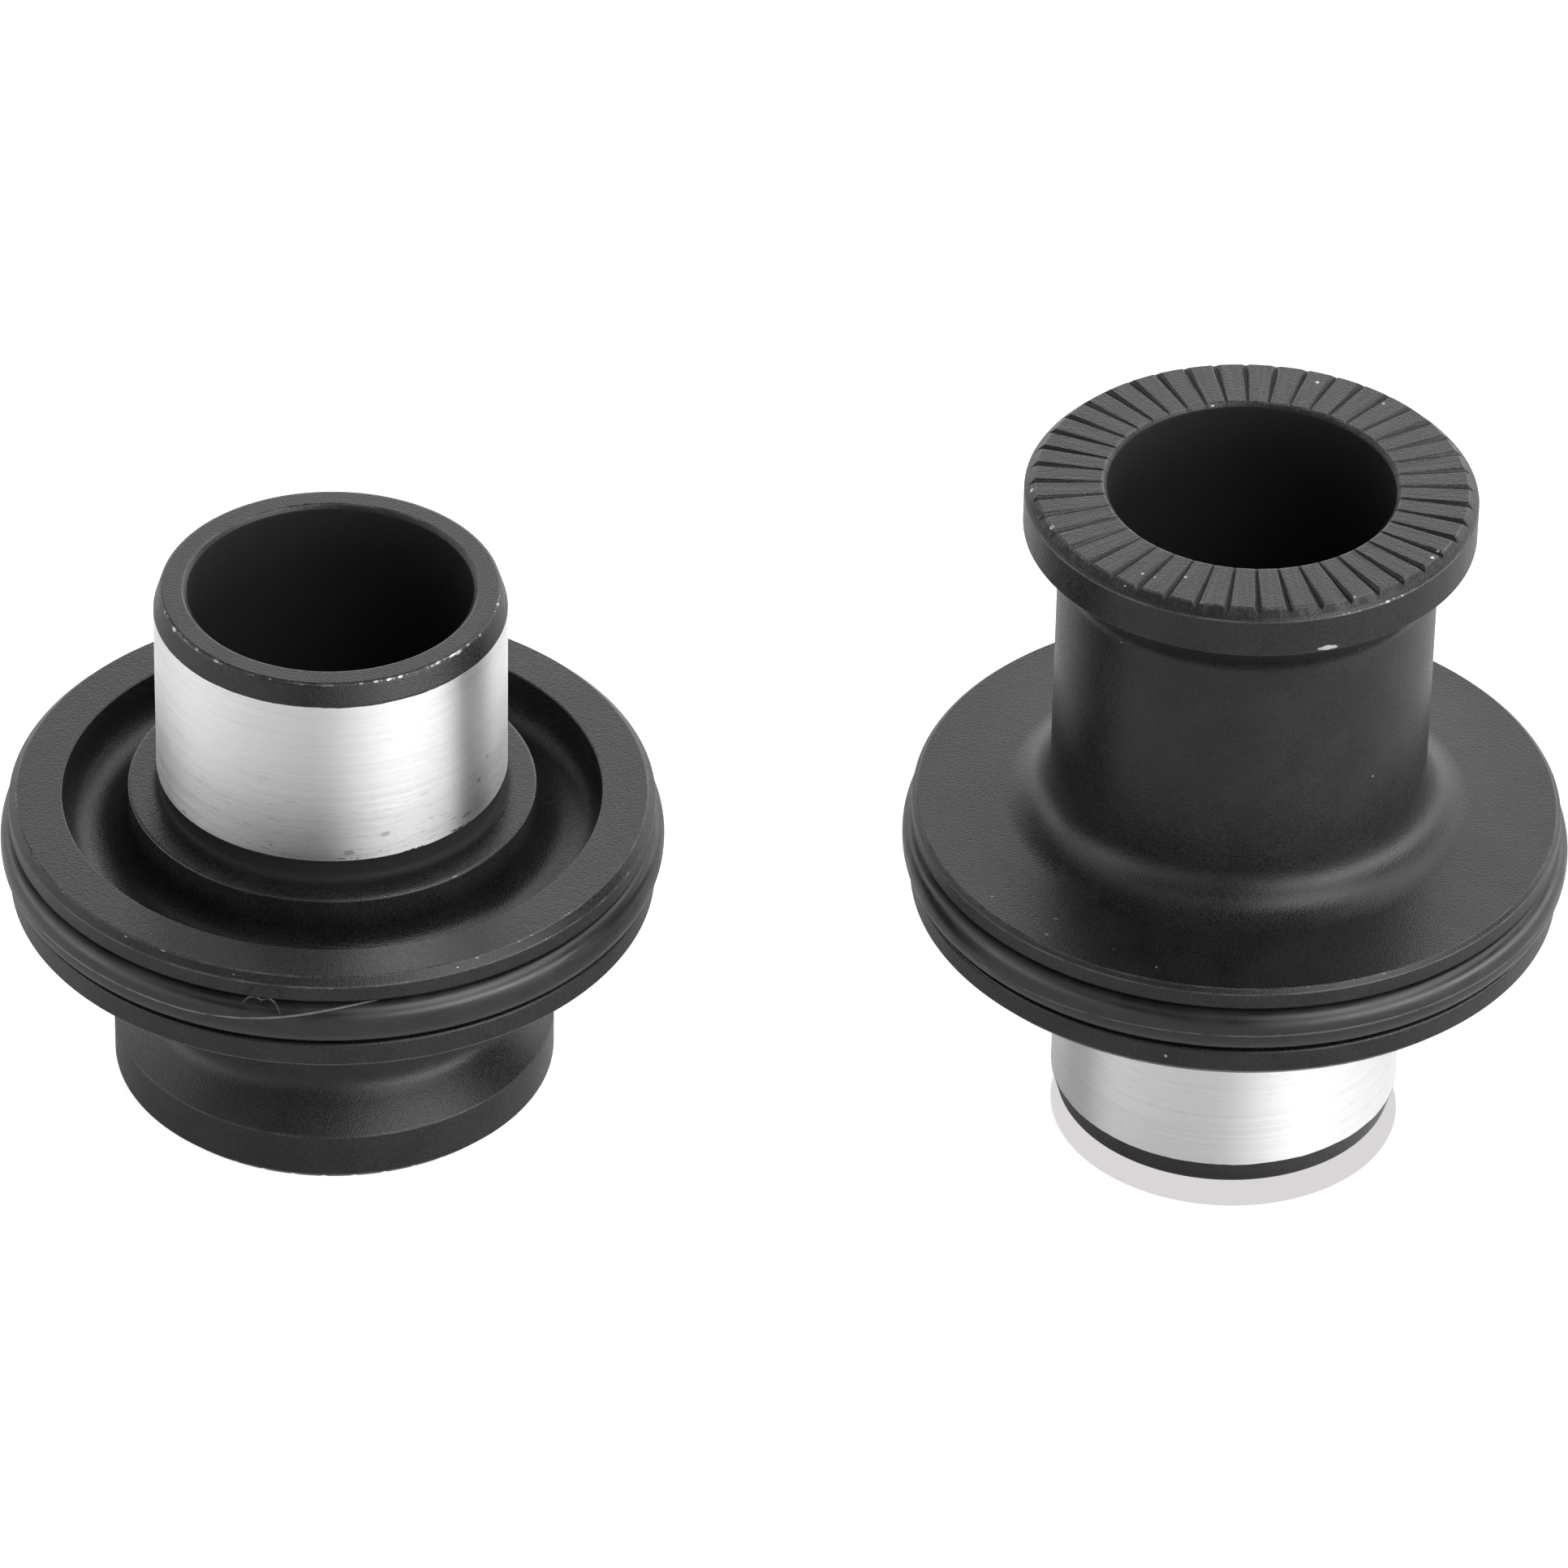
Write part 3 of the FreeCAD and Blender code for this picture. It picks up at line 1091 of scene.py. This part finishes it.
@dataclass
class Studio:
    """A pale table inside a light tent, and the camera."""

    foot: CapAxes
    shade_shift: float = 0.00146
    shade_radius: float = 0.0075
    shade_soft: float = 0.00006
    shade_reach: float = 0.02
    shade_colour: Colour = (0.700, 0.675, 0.680, 1.0)
    elevation: float = 35.68
    roll: float = 1.135
    distance: float = 0.4724
    lens: float = 253.16
    aim_back: float = 0.001196
    aim_down: float = 0.001495
    table_size: float = 1.6
    table_albedo: float = 0.55
    table_lift: float = 0.85
    table_glow: float = 0.15
    backdrop: float = 1.3
    brightest: float = 10.0
    band_blend: float = 3.0
    bands: tuple[LightBand, ...] = (
        LightBand(-20.0, 15.0, (7.2, 2.3, 3.2, 1.8, 4.1, 1.6, 0.0, 8.6)),
        LightBand(15.0, 35.0, (0.0, 1.2, 4.0, 0.0, 2.4, 0.0, 0.0, 3.0)),
        LightBand(35.0, 60.0, (3.7, 3.7, 0.1, 0.0, 0.55, 0.8, 0.15, 6.8)),
    )

    def aim(self) -> Vector:
        """Return the point that the camera looks at."""
        low, high = CAD_BOX
        return (low + high) / 2 + Vector((0.0, self.aim_back, -self.aim_down))

    def table(self) -> bpy.types.Object:
        """Lay the pale table.

        Returns:
            The table.
        """
        material, board = shader_board("pale_table")
        white = board.principled((self.table_albedo,) * 3 + (1.0,), Roughness=0.5, IOR=1.3)
        seen = board.number(board.add("ShaderNodeLightPath").outputs["Is Camera Ray"])
        strength = seen * (self.table_lift - self.table_glow) + self.table_glow
        glow = board.add("ShaderNodeEmission", {"Strength": strength})
        both = board.add("ShaderNodeAddShader", {0: white, 1: glow.outputs[0]})
        # Painted shade: a grey disc at the long cap's foot, shifted toward the camera, shown to the
        # camera only and gone once the cap is lifted away.
        x, y, _ = board.split(board.add("ShaderNodeTexCoord").outputs["Object"])
        across, toward = x - self.foot.centre_x, y - (self.foot.centre_y - self.shade_shift)
        away = (across * across + toward * toward) ** 0.5
        inside, outside = self.shade_radius - self.shade_soft, self.shade_radius + self.shade_soft
        reach = {"Distance": self.shade_reach}
        open_above = board.add("ShaderNodeAmbientOcclusion", reach, samples=8).outputs["AO"]
        covered = board.number(open_above).ramp(0.8, 0.98, 1.0, 0.0)
        under = away.ramp(inside, outside, 1.0, 0.0) * covered
        shade = board.add("ShaderNodeEmission", {"Color": self.shade_colour})
        shown = board.mix(under * seen, both.outputs[0], shade.outputs[0])
        board.add("ShaderNodeOutputMaterial", {"Surface": shown})
        half = self.table_size / 2
        mesh = bpy.data.meshes.new("table")
        square = [(-half, -half, 0.0), (half, -half, 0.0), (half, half, 0.0), (-half, half, 0.0)]
        mesh.from_pydata(square, [], [(0, 1, 2, 3)])
        mesh.materials.append(material)
        table = bpy.data.objects.new("table", mesh)
        bpy.context.scene.collection.objects.link(table)
        return table

    def surroundings(self) -> None:
        """Fill the room with the light tent and show it white behind the table."""
        world = bpy.data.worlds.new("light_tent")
        world.use_nodes = True
        world.node_tree.nodes.clear()
        board = Board(world.node_tree)
        x, y, z = board.split(board.add("ShaderNodeTexCoord").outputs["Generated"])
        turn = y.math("ARCTAN2", y, x) / (2 * math.pi)
        turn = turn.math("FRACT", turn + 1.0)
        rise = z.math("ARCSINE", z) * (180.0 / math.pi)
        strength = rise * 0.0
        for band in self.bands:
            levels = [level / self.brightest for level in band.strengths]
            stops = [(index / 8, level) for index, level in enumerate(levels + levels[:1])]
            ring = board.add("ShaderNodeValToRGB", {0: turn}, stops=stops)
            soft = self.band_blend
            above = rise.ramp(band.lowest - soft, band.lowest + soft)
            below = rise.ramp(band.highest - soft, band.highest + soft, 1.0, 0.0)
            strength = strength + board.number(ring.outputs[0]) * above * below * self.brightest
        light = board.add("ShaderNodeBackground", {"Strength": strength})
        backdrop = board.add("ShaderNodeBackground", {"Strength": self.backdrop})
        seen = board.number(board.add("ShaderNodeLightPath").outputs["Is Camera Ray"])
        both = board.mix(seen, light.outputs[0], backdrop.outputs[0])
        board.add("ShaderNodeOutputWorld", {"Surface": both})
        bpy.context.scene.world = world

    def camera(self) -> bpy.types.Object:
        """Set up the camera.

        Returns:
            The camera.
        """
        rise, roll = math.radians(self.elevation), math.radians(self.roll)
        ahead = Vector((0.0, math.cos(rise), -math.sin(rise)))
        right = Vector((1.0, 0.0, 0.0))
        up = right.cross(ahead)
        side = right * math.cos(roll) + up * math.sin(roll)
        top = up * math.cos(roll) - right * math.sin(roll)
        turn = Matrix((side, top, -ahead)).transposed().to_4x4()
        lens = bpy.data.cameras.new("camera")
        lens.lens = self.lens
        lens.sensor_width = 36.0
        lens.clip_start = 0.01
        lens.clip_end = 10.0
        camera = bpy.data.objects.new("camera", lens)
        camera.matrix_world = Matrix.Translation(self.aim() - ahead * self.distance) @ turn
        bpy.context.scene.collection.objects.link(camera)
        bpy.context.scene.camera = camera
        return camera

    def build(self) -> None:
        """Lay the table, light the tent and set the camera."""
        self.table()
        self.surroundings()
        self.camera()
        bpy.context.scene.view_settings.view_transform = "Standard"
        LOG.info("studio: light tent of %d bands", len(self.bands))


def rows(kind: type, *numbers: tuple[float, ...]) -> tuple[Any, ...]:
    """Make one mark of a kind for each row of its fields."""
    return tuple(kind(*row) for row in numbers)


def main() -> None:
    """Build every piece in order, then the studio."""
    logging.basicConfig(level=logging.INFO, format="%(name)s: %(message)s")
    short_cap = EndCap(
        node="short_end_cap",
        body="short_cap",
        standing=Standing.SPIGOT_UP,
        lead_in_length=0.95,
        inboard_land=1.1,
        outboard_land=1.25,
        stand_off=9.4,
        rim_height=1.95,
        edges=rows(
            WornEdge,
            (7.2, 0, 0.9, 0.09, 0.75, -275, 75), (6.25, 0, 0.8, 0.08), (11.55, 10.5, 0.4, 0.06),
            (13.51, 10.5, 0.8, 0.06, 0.25), (13.85, 10.84, 0.7, 0.06, 0.35, -300, 40),
            (13.85, 14.85, 0.7, 0.05), (9.53, 22.05, 0.35, 0.07), (8.75, 10.05, 0.5, 0.06, 0.2),
        ),
        nicks=rows(
            Nick,
            (-321, 7.28, 0.03, 0.62, 0.2, 0.8), (-318, 7.22, 0.03, 0.44, 0.12, 0.7),
            (-326, 7.24, 0.02, 0.3, 0.14), (-333, 7.26, 0.05, 0.22, 0.14),
            (-311, 7.22, 0.02, 0.28, 0.12), (-296.5, 7.22, 0.02, 0.22, 0.14, 0.7),
            (-292.5, 7.22, 0.02, 0.26, 0.12, 0.7), (-288, 7.2, 0.02, 0.24, 0.11),
            (-271, 7.2, 0.02, 0.7, 0.14), (-263, 7.2, 0.03, 0.26, 0.12),
            (-252, 7.18, 0.02, 0.2, 0.1), (-231, 7.2, 0.02, 0.3, 0.14),
            (-207, 7.24, 0.05, 0.34, 0.2), (-352, 7.22, 0.03, 0.24, 0.12),
            (-233, 13.62, 10.56, 0.36, 0.08), (-241, 13.55, 10.52, 0.26, 0.08),
            (-255, 13.7, 10.66, 0.18, 0.08), (-295, 13.72, 10.66, 0.16, 0.08),
            (-299, 13.6, 10.55, 0.22, 0.08), (-326, 13.62, 10.55, 0.26, 0.1),
        ),
        scraps=rows(
            Nick,
            (-328.6, 7.5, 7.1, 0.3, 0.24), (-322, 7.5, 8.4, 0.5, 0.22), (-334, 7.5, 6.3, 0.22, 0.2),
            (-290, 7.5, 7.75, 0.44, 0.26), (-278, 7.5, 8.5, 0.5, 0.24),
        ),
        seed=1.7,
    )
    long_cap = EndCap(
        node="long_end_cap",
        body="long_cap",
        standing=Standing.SPIGOT_DOWN,
        lead_in_length=1.05,
        inboard_land=1.35,
        outboard_land=0.95,
        stand_off=16.15,
        rim_height=1.65,
        edges=rows(
            WornEdge,
            (9.53, 30.8, 0.9, 0.06, 0.45, 294, 24), (9.08, 31.25, 0.7, 0.08, 0.35, 250, 60),
            (6.25, 31.25, 0.9, 0.09), (6.05, 31.05, 0.4, 0.05), (9.53, 29.15, 0.3, 0.05),
            (13.65, 15.1, 0.8, 0.05, 0.3, 300, 30), (13.85, 14.9, 0.7, 0.05),
            (13.85, 11.95, 0.4, 0.05), (13.85, 10.94, 0.6, 0.06), (7.2, 0, 0.5, 0.08, 0.2),
        ),
        nicks=rows(
            Nick,
            (288.5, 9.53, 29.3, 0.9, 0.2, 0.5), (69.3, 8.33, 31.22, 0.2, 0.2, 0.7),
            (47.7, 8.49, 31.22, 0.16, 0.16), (104.4, 6.18, 31.15, 0.24, 0.1, 0.3),
            (183.4, 9.24, 31.1, 0.2, 0.16), (202.4, 9.09, 31.22, 0.2, 0.2),
            (235.4, 8.23, 31.22, 0.16, 0.16), (239.2, 8.15, 31.22, 0.13, 0.13),
            (247.4, 7.53, 31.22, 0.15, 0.15), (324.9, 8.99, 31.22, 0.18, 0.18),
            (328.7, 8.91, 31.22, 0.16, 0.14), (229, 11.9, 15.1, 0.24, 0.16),
            (244, 12.3, 15.1, 0.14, 0.12), (231, 13, 15.1, 0.22, 0.14),
            (257, 13.85, 11.4, 0.14, 0.14),
        ),
        seed=8.4,
    )
    hair = (
        (257.2, 14.14, 12.75), (258.8, 14.40, 13.55), (260.6, 14.35, 13.15),
        (262.8, 14.45, 13.65), (263.7, 14.20, 12.40),
    )
    burr = tuple(Vector(short_cap.own_place(*point)) for point in hair)
    short_cap.build()
    seam = {"seam_swing": -1.62, "seam_rest": -0.02, "seam_paleness": 0.3}
    SealRing("short_cap_o_ring", short_cap, burr=burr, **seam).build()
    long_cap.build()
    SealRing("long_cap_o_ring", long_cap, seam_swing=0.35, seam_rest=-0.35).build()
    Studio(long_cap.axes()).build()


if __name__ == "__main__":
    main()
